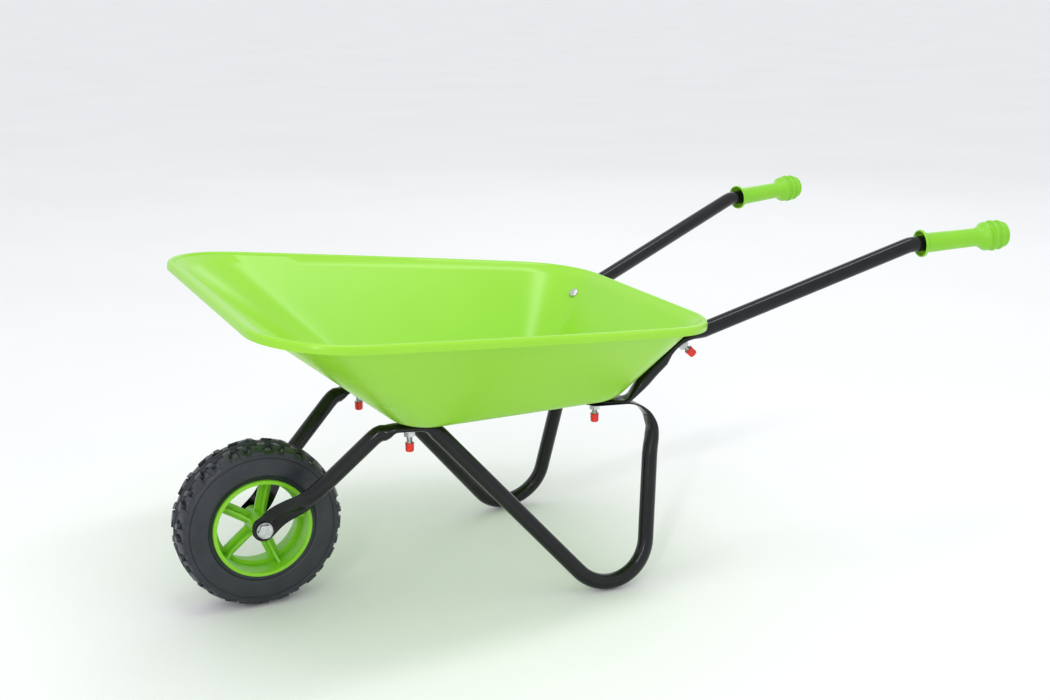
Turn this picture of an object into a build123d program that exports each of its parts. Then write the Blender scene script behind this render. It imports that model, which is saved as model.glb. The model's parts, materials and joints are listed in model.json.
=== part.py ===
from build123d import *
import os
from math import atan2, cos, radians, sin, sqrt, tan

# A small steel wheelbarrow. The frame stands on the floor (z = 0), +X runs from the
# wheel to the handles, -Y is the user's left hand side and +Z is up. Stations along
# the barrow are first measured behind the axle, and WHEEL_X then puts the origin
# under the middle of the whole barrow. All sizes are in millimetres.
os.makedirs("parts", exist_ok=True)

# --- driving dimensions ---------------------------------------------------------
OVERALL_LENGTH = 844.9
TYRE_RADIUS = 83.0
WHEEL_X = TYRE_RADIUS - OVERALL_LENGTH / 2
TUBE_DIAMETER = 16.0
TUBE_WALL = 1.2
FLAT_THICKNESS = 2.2            # a tube end pressed shut, two walls thick
FLAT_WIDTH = 24.0
PRESSED_THICKNESS = 7.0         # a tube pressed half flat where a bolt crosses it
SHEET = 1.2

# Tray: floor outline and rim outline, front and rear.
FLOOR_Z = 188.5
FLOOR_FRONT_X, FLOOR_REAR_X = 123.0, 358.0
FLOOR_FRONT_HALF, FLOOR_REAR_HALF = 107.0, 101.5
FLOOR_SIDE_BOW = 1.0
FLOOR_CORNER = 32.0
FLOOR_FILLET = 28.0
RIM_FRONT_X, RIM_REAR_X = -35.4, 430.3
RIM_FRONT_Z, RIM_REAR_Z = 318.9, 275.8
RIM_FRONT_HALF, RIM_REAR_HALF = 229.4, 164.3
RIM_CORNER = 70.5
RIM_SIDE_BOW = 6.4
LIP_WIDTH, LIP_DEPTH, LIP_RADIUS = 5.8, 8.4, 4.2

# Frame tubes: points behind the axle, y measured outwards from the middle.
PLATE_Y = 25.5
ARM_SLOPE = 42.25               # degrees, from the axle up to the front bolts
ARM_START = (41.0, 53.0)        # x, y where the arm becomes a round tube
CREST_X, CREST_Y = 109.0, 71.0
SHOULDER_X, SHOULDER_Y = 154.0, 83.3
FOOT = (358.5, 142.0, -48.5)    # where the two lines of the leg would cross
FOOT_RADIUS = 44.0
LEG_TOP = (391.8, 96.3)
LEG_TOP_RADIUS = 30.0
LEG_GAP = 0.5                   # under the handle's bend
FLOOR_BOLT_FRONT = (134.0, 76.0)
FLOOR_BOLT_REAR = (334.0, 80.0)
HANDLE_FOOT = (366.0, 91.0)
HANDLE_KNEE = (112.5, 252.0)    # y, z where the handle bolt goes through the rear wall
GRIP_BEND = (650.1, 168.9, 337.6)
GRIP_AXIS = (0.987, 0.1545, 0.0523)

# Wheel.
TYRE_HALF_WIDTH = 23.0
SHOULDER_RADIUS = 76.0
TREAD_HALF_WIDTH = 20.0
RIM_RADIUS = 49.5
RIM_HALF_WIDTH = 24.0
BARREL_WALL = 3.0
FLANGE_RADIUS = 41.0
SPOKES = 5
SPOKE_WIDTH = 12.0
SPOKE_START = 4.0               # degrees
WEB = 3.0
RIB = 2.6
HUB_RADIUS = 12.0
HUB_HALF = 18.5
BUSH_RADIUS = 7.0
BUSH_FLANGE_RADIUS = 10.0
BUSH_FLANGE = 1.5
END_PLAY = 0.3
AXLE_RADIUS = 4.0
AXLE_CLEARANCE = 0.05
AXLE_HOLE_CLEARANCE = 0.1
AXLE_HEAD_AF, AXLE_HEAD = 13.0, 5.3
AXLE_NUT = 6.5
AXLE_WASHER_RADIUS, AXLE_WASHER = 8.0, 1.6
AXLE_END_PAST_NUT = 4.0

# M6 fastenings.
BOLT_RADIUS = 3.0
HOLE_RADIUS = 3.1
BOLT_HEAD_RADIUS, BOLT_HEAD = 6.0, 3.4
WASHER_RADIUS, WASHER = 6.0, 1.2
NUT_AF, NUT = 10.0, 5.0
CAP_RADIUS, CAP_LENGTH, CAP_GRIPS = 4.4, 9.2, 7.0

# Grip.
GRIP_LENGTH = 100.0
GRIP_BORE_DEPTH = 88.0
GRIP_MOUTH = 12.0               # from the last bend of the tube to the flange
TUBE_RADIUS = TUBE_DIAMETER / 2
MIRROR = Plane.XZ
UNDER = (Align.CENTER, Align.CENTER, Align.MAX)
OVER = (Align.CENTER, Align.CENTER, Align.MIN)


def write(solid, name):
    """Move a finished piece from the axle's frame to the barrow's and save it."""
    placed = Pos(WHEEL_X, 0, 0) * solid
    placed.label = name
    export_step(placed, f"parts/{name}.step")


def both_sides(right_piece, name):
    """The right hand piece is drawn; the left hand one is its mirror image."""
    write(right_piece, f"{name}_right")
    write(mirror(right_piece, about=MIRROR), f"{name}_left")


def along(start, direction, distance):
    return Vector(*start) + Vector(*direction).normalized() * distance


def plane_at(point, direction, width_direction):
    """A section plane whose normal is direction and whose x is the flat's width."""
    normal = Vector(*direction).normalized()
    across = Vector(*width_direction)
    across = (across - normal * across.dot(normal)).normalized()
    return Plane(origin=Vector(*point), x_dir=across, z_dir=normal)


# --- tray -------------------------------------------------------------------------
RIM_SLOPE = atan2(RIM_FRONT_Z - RIM_REAR_Z, RIM_REAR_X - RIM_FRONT_X)
RIM_PLANE = Plane(
    origin=(RIM_FRONT_X, 0, RIM_FRONT_Z),
    x_dir=(cos(RIM_SLOPE), 0, -sin(RIM_SLOPE)),
    z_dir=(sin(RIM_SLOPE), 0, cos(RIM_SLOPE)),
)
RIM_LENGTH = (RIM_REAR_X - RIM_FRONT_X) / cos(RIM_SLOPE)
FLOOR_PLANE = Plane(origin=(FLOOR_FRONT_X, 0, FLOOR_Z))


def outline(length, front_half, rear_half, corner, side_bow, grow=0.0):
    """A long rounded outline, wider at the front, grown outwards by grow."""
    front, rear = -grow, length + grow
    wide, narrow = front_half + grow, rear_half + grow
    middle = (front + rear) / 2
    half = (wide + narrow) / 2 + side_bow
    edges = [
        ThreePointArc((front, -wide), (middle, -half), (rear, -narrow)),
        Line((rear, -narrow), (rear, narrow)),
        ThreePointArc((rear, narrow), (middle, half), (front, wide)),
        Line((front, wide), (front, -wide)),
    ]
    face = Face(Wire(edges))
    return face.fillet_2d(corner + grow, face.vertices())


def rim_outline(grow=0.0):
    return outline(RIM_LENGTH, RIM_FRONT_HALF, RIM_REAR_HALF, RIM_CORNER,
                   RIM_SIDE_BOW, grow)


def tray_body(inset_floor, inset_rim, floor_lift, floor_fillet):
    """The pressed pan as a solid block, between its floor and its rim."""
    floor = outline(FLOOR_REAR_X - FLOOR_FRONT_X, FLOOR_FRONT_HALF, FLOOR_REAR_HALF,
                    FLOOR_CORNER, FLOOR_SIDE_BOW, -inset_floor)
    floor = FLOOR_PLANE * (Pos(0, 0, floor_lift) * floor)
    rim = RIM_PLANE * rim_outline(-inset_rim)
    block = Solid.make_loft([floor.outer_wire(), rim.outer_wire()], ruled=True)
    low = block.faces().sort_by(Axis.Z)[0]
    return block.fillet(floor_fillet, low.edges())


def rolled_lip():
    """The rim's edge, turned outwards and down all the way round."""
    outer = extrude(rim_outline(LIP_WIDTH), -LIP_DEPTH)
    crest = outer.faces().sort_by(Axis.Z)[-1]
    outer = fillet(crest.edges(), LIP_RADIUS)
    cavity = extrude(rim_outline(LIP_WIDTH - SHEET), -LIP_DEPTH)
    crest = cavity.faces().sort_by(Axis.Z)[-1]
    cavity = fillet(crest.edges(), LIP_RADIUS - SHEET)
    return RIM_PLANE * (outer - Pos(0, 0, -SHEET) * cavity)


outer_body = tray_body(0, 0, 0, FLOOR_FILLET)
inner_body = tray_body(SHEET * 0.42, SHEET * 1.4, SHEET, FLOOR_FILLET - SHEET)
headroom = RIM_PLANE * extrude(rim_outline(-SHEET * 1.4), LIP_DEPTH)
tray = outer_body + rolled_lip() - inner_body - headroom

# Rear wall of the tray, on its outside: where the handles' upper bolts go through,
# square to the sheet.
look_forward = Axis((RIM_REAR_X + 50, *HANDLE_KNEE), (-1, 0, 0))
wall_bolt_seat, WALL_OUT = outer_body.find_intersection_points(look_forward)[0]

# Each bolt: the point on the tray's outside, the way the shank points, the thickness
# of tube that it clamps, and the bare thread between its nut and its cap.
DOWN = Vector(0, 0, -1)
BOLTS = {
    "floor_front": (Vector(*FLOOR_BOLT_FRONT, FLOOR_Z), DOWN, PRESSED_THICKNESS, 6.4),
    "floor_rear": (Vector(*FLOOR_BOLT_REAR, FLOOR_Z), DOWN, 2 * FLAT_THICKNESS, 4.4),
    "wall_rear": (wall_bolt_seat, WALL_OUT, PRESSED_THICKNESS, 4.4),
}


def bolt_hole(place, radius=HOLE_RADIUS, reach=40.0):
    seat, direction = BOLTS[place][:2]
    hole = Cylinder(radius, reach)
    return Plane(origin=seat, z_dir=direction) * hole


def head_seat(place):
    """A shallow flat pressed in the sheet, under the head of each bolt."""
    seat, direction = BOLTS[place][:2]
    flat = Cylinder(BOLT_HEAD_RADIUS + 0.2, 3 * BOLT_HEAD, align=UNDER)
    return Plane(origin=seat - direction * SHEET, z_dir=direction) * flat


for place in BOLTS:
    for cutter in (bolt_hole(place), head_seat(place)):
        tray -= cutter
        tray -= mirror(cutter, about=MIRROR)
write(tray, "tray")


# --- frame tubes ------------------------------------------------------------------
def round_tube(path):
    start = path @ 0
    section = Plane(origin=start, z_dir=path % 0)
    return sweep(section * Circle(TUBE_RADIUS), path)


def tube_void(path):
    start = path @ 0
    section = Plane(origin=start, z_dir=path % 0)
    return sweep(section * Circle(TUBE_RADIUS - TUBE_WALL), path)


def flattening(stations, ruled=False):
    """A loft from a round tube to a flat end. Each station gives its section plane,
    its width and its thickness."""
    wires = []
    for plane, width, thickness in stations:
        radius = thickness / 2 - 0.05
        section = plane * RectangleRounded(width, thickness, radius)
        wires.append(section.face().outer_wire())
    return Solid.make_loft(wires, ruled=ruled)


def arm_point(x, y):
    return Vector(x, y, TYRE_RADIUS + x * tan(radians(ARM_SLOPE)))


CREST_Z = FLOOR_Z - PRESSED_THICKNESS / 2
arm_start = arm_point(*ARM_START)
crest = Vector(CREST_X, CREST_Y, CREST_Z)
shoulder = Vector(SHOULDER_X, SHOULDER_Y, CREST_Z)
foot = Vector(*FOOT)
LEG_FLAT_Z = FLOOR_Z - 1.5 * FLAT_THICKNESS
LEG_DROP = TUBE_RADIUS - FLAT_THICKNESS / 2     # the tube's top is level with its flat
leg_top = Vector(*LEG_TOP, LEG_FLAT_Z - LEG_DROP)
floor_rear_bolt = Vector(*FLOOR_BOLT_REAR, LEG_FLAT_Z)
leg_flat_way = (Vector(LEG_TOP[0], LEG_TOP[1], LEG_FLAT_Z) - floor_rear_bolt).normalized()
leg_bend_start = floor_rear_bolt + leg_flat_way * 20 - Vector(0, 0, LEG_DROP)
leg_bend_end = along(leg_top, foot - leg_top, 36)
leg_path = FilletPolyline(
    arm_start, crest, shoulder, foot, leg_bend_end,
    radius=[38.0, 30.0, FOOT_RADIUS],
)
leg = round_tube(leg_path)

# The front end: a flat round-ended lug on the axle, which jogs out past the tyre.
arm_way = (arm_point(10, 0) - arm_point(0, 0)).normalized()
side_way = Vector(0, 1, 0)
up_way = arm_way.cross(side_way)
lug_plane = Plane(origin=(0, PLATE_Y + FLAT_THICKNESS / 2, TYRE_RADIUS),
                  x_dir=arm_way, z_dir=side_way)
LUG_REACH = 16.0
lug = Circle(FLAT_WIDTH / 2) + Pos(LUG_REACH / 2, 0) * Rectangle(LUG_REACH, FLAT_WIDTH)
lug = extrude(lug_plane * lug, -FLAT_THICKNESS)
tube_way = crest - arm_start
jog = flattening([
    (plane_at(arm_point(8, PLATE_Y), arm_way, up_way), FLAT_WIDTH, FLAT_THICKNESS),
    (plane_at(arm_point(14, PLATE_Y + 1.5), arm_way + side_way * 0.5, up_way),
     FLAT_WIDTH, FLAT_THICKNESS + 0.4),
    (plane_at(arm_point(29, 45.0), arm_way + side_way * 0.9, up_way), 22.5, 5.0),
    (plane_at(arm_start, tube_way, up_way), TUBE_DIAMETER, TUBE_DIAMETER),
])

# The rear end: flattened under the handle's own flat end.
leg_flat_plane = Plane(origin=floor_rear_bolt + Vector(0, 0, -FLAT_THICKNESS / 2),
                       x_dir=leg_flat_way, z_dir=(0, 0, 1))
LEG_TONGUE, HANDLE_TONGUE = 20.0, 28.0


def tongue(reach):
    """A round-nosed flat strip, from the bolt to reach behind it."""
    nose = Circle(FLAT_WIDTH / 2)
    return nose + Pos(reach / 2, 0) * Rectangle(reach, FLAT_WIDTH)


leg_tongue = extrude(leg_flat_plane * tongue(LEG_TONGUE), FLAT_THICKNESS)
flat_across = leg_flat_way.cross(Vector(0, 0, 1))
leg_bend = FilletPolyline(leg_bend_start, leg_top, leg_bend_end, radius=LEG_TOP_RADIUS)


def leg_flare_station(share, width, thickness):
    """A section round the top bend, its upper side level with the flat end's."""
    way = (leg_bend % share).normalized()
    outwards = flat_across.cross(way).normalized()
    centre = leg_bend @ share + outwards * (TUBE_RADIUS - thickness / 2 - LEG_GAP)
    return plane_at(centre, way, flat_across), width, thickness


leg_flare = flattening([
    (plane_at(floor_rear_bolt + leg_flat_way * 12, leg_flat_way, flat_across),
     FLAT_WIDTH, FLAT_THICKNESS),
    leg_flare_station(0.06, FLAT_WIDTH - 0.3, FLAT_THICKNESS + 0.5),
    leg_flare_station(0.30, 22.0, 6.0),
    leg_flare_station(0.62, 18.5, 12.0),
    leg_flare_station(1.0, TUBE_DIAMETER, TUBE_DIAMETER),
])
leg = leg + lug + jog + leg_tongue + leg_flare

# Pressed half flat over the crest, where the front bolt goes through, and level on
# top where the handle lies on it.
PRESS_ACROSS = 60.0
PRESS_DEPTH = 20.0
CREST_TOP_LENGTH, CREST_UNDER_LENGTH = 60.0, 34.0
JOIN_LENGTH = 160.0
JOIN_Z = FLOOR_Z - FLAT_THICKNESS
front_seat = Vector(*FLOOR_BOLT_FRONT, FLOOR_Z)
leg -= Pos(*front_seat) * Box(CREST_TOP_LENGTH, PRESS_ACROSS, PRESS_DEPTH, align=OVER)
front_under = front_seat + Vector(-1, 0, -PRESSED_THICKNESS)
leg -= Pos(*front_under) * Box(CREST_UNDER_LENGTH, PRESS_ACROSS, PRESS_DEPTH, align=UNDER)
join = Pos(*FLOOR_BOLT_REAR, JOIN_Z)
leg -= join * Box(JOIN_LENGTH, PRESS_ACROSS, PRESS_DEPTH, align=OVER)
leg -= bolt_hole("floor_front")
leg -= bolt_hole("floor_rear")
axle_hole = Plane(origin=(0, 0, TYRE_RADIUS), z_dir=(0, 1, 0)) * Cylinder(
    AXLE_RADIUS + AXLE_HOLE_CLEARANCE, 4 * PLATE_Y)
leg -= axle_hole

leg_bore = tube_void(FilletPolyline(
    along(shoulder, foot - shoulder, 34), foot, along(leg_top, foot - leg_top, 44),
    radius=[FOOT_RADIUS],
))
arm_bore = tube_void(Line(along(arm_start, crest - arm_start, 8),
                          along(crest, arm_start - crest, 26)))
leg = leg - leg_bore - arm_bore
both_sides(leg, "leg_frame")

HANDLE_FLAT_Z = FLOOR_Z - FLAT_THICKNESS / 2
knee = wall_bolt_seat + WALL_OUT * (PRESSED_THICKNESS / 2)
handle_foot = Vector(*HANDLE_FOOT, HANDLE_FLAT_Z)
handle_bolt = Vector(*FLOOR_BOLT_REAR, HANDLE_FLAT_Z)
handle_flat_way = (handle_foot - handle_bolt).normalized()
grip_way = Vector(*GRIP_AXIS).normalized()
grip_bend = Vector(*GRIP_BEND)
tube_end = grip_bend + grip_way * (GRIP_MOUTH + GRIP_BORE_DEPTH - 2)
round_start = along(handle_foot, knee - handle_foot, 16)
handle_path = FilletPolyline(round_start, knee, grip_bend, tube_end, radius=[30.0, 24.0])
handle = round_tube(handle_path)
handle_flat_plane = Plane(origin=handle_bolt + Vector(0, 0, -FLAT_THICKNESS / 2),
                          x_dir=handle_flat_way, z_dir=(0, 0, 1))
handle_tongue = extrude(handle_flat_plane * tongue(HANDLE_TONGUE), FLAT_THICKNESS)
handle_across = handle_flat_way.cross(Vector(0, 0, 1))
bend_way = handle_flat_way + (knee - handle_foot).normalized()
handle_flare = flattening([
    (plane_at(handle_bolt + handle_flat_way * 14, handle_flat_way, handle_across),
     FLAT_WIDTH, FLAT_THICKNESS),
    (plane_at(handle_foot + Vector(-5, -1.7, 0.4), handle_flat_way, handle_across),
     FLAT_WIDTH - 0.4, FLAT_THICKNESS + 0.6),
    (plane_at(handle_foot + Vector(-0.5, 0, 2.4), handle_flat_way + bend_way, handle_across),
     23.0, 4.2),
    (plane_at(handle_foot + Vector(3.0, 1.2, 6.0), bend_way, handle_across), 21.0, 7.5),
    (plane_at(handle_foot + Vector(5.6, 2.4, 9.2), knee - handle_foot, handle_across),
     18.6, 11.5),
    (plane_at(round_start, knee - handle_foot, handle_across),
     TUBE_DIAMETER + 0.7, TUBE_DIAMETER + 0.7),
    (plane_at(along(handle_foot, knee - handle_foot, 21), knee - handle_foot, handle_across),
     TUBE_DIAMETER - 0.8, TUBE_DIAMETER - 0.8),
], ruled=True)
handle = handle + handle_tongue + handle_flare

# Pressed half flat against the rear wall, where the upper bolt goes through.
# The side towards the tray is flat from just above the foot to just past the bolt.
FLAT_BELOW_BOLT, FLAT_ABOVE_BOLT = 66.0, 18.0
WALL_OUTER_LENGTH = 26.0
wall_plane = plane_at(wall_bolt_seat, WALL_OUT, knee - handle_foot)
wall_side = Box(FLAT_BELOW_BOLT + FLAT_ABOVE_BOLT, PRESS_ACROSS, PRESS_DEPTH, align=UNDER)
handle -= wall_plane * Pos((FLAT_ABOVE_BOLT - FLAT_BELOW_BOLT) / 2, 0, 0) * wall_side
wall_outer = wall_plane * Pos(0, 0, PRESSED_THICKNESS)
handle -= wall_outer * Box(WALL_OUTER_LENGTH, PRESS_ACROSS, PRESS_DEPTH, align=OVER)
handle -= bolt_hole("wall_rear")
handle -= bolt_hole("floor_rear")
handle -= tube_void(FilletPolyline(
    along(knee, grip_bend - knee, 26), grip_bend, tube_end + grip_way, radius=[24.0]))
both_sides(handle, "handle_tube")

# --- grips --------------------------------------------------------------------------
# Half section of the grip: distance from the flange's face, then radius.
grip_outline = [
    (0.0, TUBE_RADIUS + 0.05), (0.0, 13.4), (1.2, 14.2), (3.2, 14.2), (4.6, 12.6),
    (6.0, 10.3), (62.0, 9.5), (66.0, 9.9), (73.5, 14.6), (76.5, 15.0), (78.5, 13.2),
    (80.5, 13.2), (82.5, 16.0), (84.5, 16.0), (86.5, 13.6), (88.5, 13.6), (90.5, 15.4),
    (92.5, 15.4), (94.0, 13.2), (95.5, 13.2), (97.0, 13.6), (98.6, 12.0),
    (GRIP_LENGTH, 8.0), (GRIP_LENGTH, 0.0), (GRIP_BORE_DEPTH, 0.0),
    (GRIP_BORE_DEPTH, TUBE_RADIUS + 0.05),
]
grip_section = make_face(Polyline([(r, h) for h, r in grip_outline], close=True))
grip_solid = revolve(Plane.XZ * grip_section, Axis.Z)
grip_plane = Plane(origin=grip_bend + grip_way * GRIP_MOUTH, z_dir=grip_way)
both_sides(grip_plane * grip_solid, "grip")


# --- bolts, washers, nuts and end caps ------------------------------------------------
def fastener_plane(place, depth):
    seat, direction = BOLTS[place][:2]
    return Plane(origin=seat + direction * depth, z_dir=direction)


def hexagon(across_flats, height):
    return extrude(RegularPolygon(across_flats / sqrt(3), 6), height)


def washer(outer, inner, height):
    return extrude(Circle(outer) - Circle(inner), height)


for place, (_, _, clamped, thread) in BOLTS.items():
    nut_depth = clamped + WASHER
    cap_depth = nut_depth + NUT + thread
    shank = SHEET + cap_depth + CAP_GRIPS
    head = Cylinder(BOLT_HEAD_RADIUS, BOLT_HEAD, align=UNDER)
    head = fillet(head.edges().sort_by(Axis.Z)[:1], BOLT_HEAD - 0.4)
    bolt = head + extrude(Circle(BOLT_RADIUS), shank)
    both_sides(fastener_plane(place, -SHEET) * bolt, f"bolt_{place}")
    ring = washer(WASHER_RADIUS, HOLE_RADIUS, WASHER)
    both_sides(fastener_plane(place, clamped) * ring, f"washer_{place}")
    nut = hexagon(NUT_AF, NUT) - Cylinder(BOLT_RADIUS + 0.02, 3 * NUT)
    both_sides(fastener_plane(place, nut_depth) * nut, f"nut_{place}")
    cap = extrude(Circle(CAP_RADIUS), CAP_LENGTH)
    cap = fillet(cap.edges().sort_by(Axis.Z)[-1:], 1.2)
    cap -= extrude(Circle(BOLT_RADIUS + 0.02), CAP_GRIPS + 0.2)
    both_sides(fastener_plane(place, cap_depth) * cap, f"cap_{place}")


# --- wheel ----------------------------------------------------------------------------
AXLE = Plane(origin=(0, 0, TYRE_RADIUS), x_dir=(1, 0, 0), z_dir=(0, 1, 0))


def turned(points):
    """A turned piece: points are distance along the axle, then radius."""
    section = make_face(Polyline([(r, h) for h, r in points], close=True))
    return AXLE * revolve(Plane.XZ * section, Axis.Z)


def balanced(half_points):
    """Close a half section with its mirror image about the middle of the wheel."""
    return half_points + [(-h, r) for h, r in reversed(half_points) if h > 0]


tyre = turned(balanced([
    (0.0, RIM_RADIUS - 1.0), (20.0, RIM_RADIUS - 1.0), (20.0, 53.0), (21.8, 53.6),
    (TYRE_HALF_WIDTH, 55.0), (TYRE_HALF_WIDTH, 71.5), (22.2, 72.0), (22.6, 72.8),
    (21.8, SHOULDER_RADIUS), (TREAD_HALF_WIDTH, TYRE_RADIUS - 3.0),
    (17.0, TYRE_RADIUS - 0.8), (1.2, TYRE_RADIUS - 0.8), (0.0, TYRE_RADIUS),
]))
write(tyre, "tyre")

rim_barrel = turned(balanced([
    (0.0, RIM_RADIUS - 1.0 - BARREL_WALL - 0.6), (20.0, RIM_RADIUS - BARREL_WALL - 1.2),
    (RIM_HALF_WIDTH, RIM_RADIUS - BARREL_WALL - 0.6), (RIM_HALF_WIDTH, RIM_RADIUS - 0.5),
    (RIM_HALF_WIDTH - 0.6, RIM_RADIUS), (20.0, RIM_RADIUS), (20.0, RIM_RADIUS - 1.0),
    (0.0, RIM_RADIUS - 1.0),
]))
rim_flange = turned([(-WEB / 2, FLANGE_RADIUS), (WEB / 2, FLANGE_RADIUS),
                     (WEB / 2, RIM_RADIUS - 3.0), (-WEB / 2, RIM_RADIUS - 3.0)])
hub = turned([(-HUB_HALF, 0.1), (HUB_HALF, 0.1), (HUB_HALF, HUB_RADIUS - 1.5),
              (4.0, HUB_RADIUS), (-4.0, HUB_RADIUS), (-HUB_HALF, HUB_RADIUS - 1.5)])
wheel_rim = rim_barrel + rim_flange + hub
SPOKE_ROOT, SPOKE_END = HUB_RADIUS - 3.0, RIM_RADIUS - 3.4
RIB_AT_HUB, RIB_AT_BARREL = 15.0, 14.0
RIB_WAIST = 7.5
web = Box(SPOKE_END - SPOKE_ROOT, SPOKE_WIDTH, WEB)
web = Pos((SPOKE_ROOT + SPOKE_END) / 2, 0, 0) * web
rib_half = [(SPOKE_ROOT, RIB_AT_HUB), (16.0, RIB_WAIST + 2.0), (22.0, RIB_WAIST),
            (36.0, RIB_WAIST), (SPOKE_END, RIB_AT_BARREL)]
rib_outline = rib_half + [(r, -h) for r, h in reversed(rib_half)]
rib = extrude(Plane.XZ * make_face(Polyline(rib_outline, close=True)), RIB / 2, both=True)
for index in range(SPOKES):
    turn = SPOKE_START + index * 360 / SPOKES
    wheel_rim += AXLE * Rot(0, 0, -turn) * (web + rib)
wheel_rim -= turned([(-40.0, 0.0), (40.0, 0.0), (40.0, BUSH_RADIUS), (-40.0, BUSH_RADIUS)])
write(wheel_rim, "wheel_rim")

bush = turned([
    (2.0, AXLE_RADIUS + AXLE_CLEARANCE), (HUB_HALF + BUSH_FLANGE, AXLE_RADIUS + AXLE_CLEARANCE),
    (HUB_HALF + BUSH_FLANGE, BUSH_FLANGE_RADIUS), (HUB_HALF, BUSH_FLANGE_RADIUS),
    (HUB_HALF, BUSH_RADIUS), (2.0, BUSH_RADIUS),
])
both_sides(bush, "hub_bush")

# --- axle -----------------------------------------------------------------------------
PLATE_IN = PLATE_Y - FLAT_THICKNESS / 2
PLATE_OUT = PLATE_Y + FLAT_THICKNESS / 2
SPACER_IN = HUB_HALF + BUSH_FLANGE + END_PLAY
SPACER_RADIUS = 6.5
LOOSE_BORE = AXLE_RADIUS + AXLE_HOLE_CLEARANCE
spacer = turned([
    (SPACER_IN, LOOSE_BORE), (PLATE_IN, LOOSE_BORE),
    (PLATE_IN, SPACER_RADIUS), (SPACER_IN, SPACER_RADIUS),
])
both_sides(spacer, "axle_spacer")
axle_washer = turned([
    (PLATE_OUT, LOOSE_BORE), (PLATE_OUT + AXLE_WASHER, LOOSE_BORE),
    (PLATE_OUT + AXLE_WASHER, AXLE_WASHER_RADIUS), (PLATE_OUT, AXLE_WASHER_RADIUS),
])
both_sides(axle_washer, "axle_washer")
clamp_face = PLATE_OUT + AXLE_WASHER
axle_end = clamp_face + AXLE_NUT + AXLE_END_PAST_NUT
axle_head = Pos(0, 0, -clamp_face - AXLE_HEAD) * hexagon(AXLE_HEAD_AF, AXLE_HEAD)
axle_shank = Pos(0, 0, -clamp_face) * extrude(Circle(AXLE_RADIUS), clamp_face + axle_end)
write(AXLE * (axle_head + axle_shank), "axle_bolt")
axle_nut = hexagon(AXLE_HEAD_AF, AXLE_NUT) - Cylinder(AXLE_RADIUS + 0.02, 3 * AXLE_NUT)
write(AXLE * Pos(0, 0, clamp_face) * axle_nut, "axle_nut")
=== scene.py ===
# %% [markdown]
# # A small steel wheelbarrow
#
# This lesson dresses a finished frame of metal parts as a child's wheelbarrow: a pressed
# tray in light green enamel, black enamelled tubes, and one moulded wheel with a blown
# tyre. The frame already has every part in its place and at its size, in metres, so a new
# piece only has to be made where the part that it stands for is.

# %% Load the frame
import bmesh
import bpy
import json
from math import acos, ceil, copysign, cos, pi, radians, sin, tan
from mathutils import Matrix, Vector

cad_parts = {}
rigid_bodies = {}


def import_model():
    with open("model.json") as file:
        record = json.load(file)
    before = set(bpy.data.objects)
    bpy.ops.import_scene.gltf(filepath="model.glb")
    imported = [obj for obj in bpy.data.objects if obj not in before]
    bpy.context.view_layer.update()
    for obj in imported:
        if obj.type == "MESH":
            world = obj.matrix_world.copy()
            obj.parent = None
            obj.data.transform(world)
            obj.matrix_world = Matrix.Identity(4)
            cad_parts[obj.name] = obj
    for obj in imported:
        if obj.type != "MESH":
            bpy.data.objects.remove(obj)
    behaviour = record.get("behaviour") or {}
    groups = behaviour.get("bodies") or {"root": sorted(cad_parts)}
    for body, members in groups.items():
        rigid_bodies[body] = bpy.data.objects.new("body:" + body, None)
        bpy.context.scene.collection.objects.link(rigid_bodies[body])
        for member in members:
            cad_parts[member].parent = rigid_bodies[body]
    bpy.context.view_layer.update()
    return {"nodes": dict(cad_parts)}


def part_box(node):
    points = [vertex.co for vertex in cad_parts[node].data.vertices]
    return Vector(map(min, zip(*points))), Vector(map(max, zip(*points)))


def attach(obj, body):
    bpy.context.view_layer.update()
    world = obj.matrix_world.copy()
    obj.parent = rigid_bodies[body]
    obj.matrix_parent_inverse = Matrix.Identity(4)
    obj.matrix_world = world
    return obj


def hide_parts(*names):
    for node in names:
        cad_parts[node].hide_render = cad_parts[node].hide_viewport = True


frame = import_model()
MM = 0.001
nodes = frame["nodes"]

# %% [markdown]
# ## Camera, floor and light
#
# The barrow is seen from its left, a little in front of the wheel's axle and from about
# the height of a table. The camera is placed from the axle, and looks slightly down. A
# pale sheet of paper serves as floor and backdrop, because the camera looks down far
# enough that nothing but floor is behind the barrow.

# %% Camera
rim_low, rim_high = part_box("wheel_rim")
AXLE = (rim_low + rim_high) / 2
AZIMUTH, ELEVATION = radians(25.12), radians(14.81)
LENS, SENSOR = 49.8, 36
AXLE_TO_CAMERA = Vector((-332.2, -1333.5, 531.8))
camera_place = AXLE + AXLE_TO_CAMERA * MM
look = Vector((
    sin(AZIMUTH) * cos(ELEVATION),
    cos(AZIMUTH) * cos(ELEVATION),
    -sin(ELEVATION),
))
camera_data = bpy.data.cameras.new("camera")
camera_data.lens = LENS
camera_data.sensor_width = SENSOR
camera = bpy.data.objects.new("camera", camera_data)
camera.location = camera_place
camera.rotation_euler = look.to_track_quat("-Z", "Y").to_euler()
bpy.context.scene.collection.objects.link(camera)
bpy.context.scene.camera = camera
print("camera at", [round(v, 3) for v in camera_place])

# %% Helpers for selecting and adding
def deselect():
    """Nothing selected, in object mode."""
    if bpy.context.object and bpy.context.object.mode != "OBJECT":
        bpy.ops.object.mode_set(mode="OBJECT")
    bpy.ops.object.select_all(action="DESELECT")


def choose(*objects):
    """Only these objects selected, the first one active."""
    deselect()
    for item in objects:
        item.select_set(True)
    bpy.context.view_layer.objects.active = objects[0]


def added(name):
    """The object that an add operator has just made, named."""
    item = bpy.context.object
    item.name = name
    item.data.name = name
    return item

# %% Floor
deselect()
FLOOR_SIZE = 60
bpy.ops.mesh.primitive_plane_add(size=FLOOR_SIZE, location=(0, 0, 0))
floor = added("floor")
print("floor:", FLOOR_SIZE, "m square")

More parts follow.
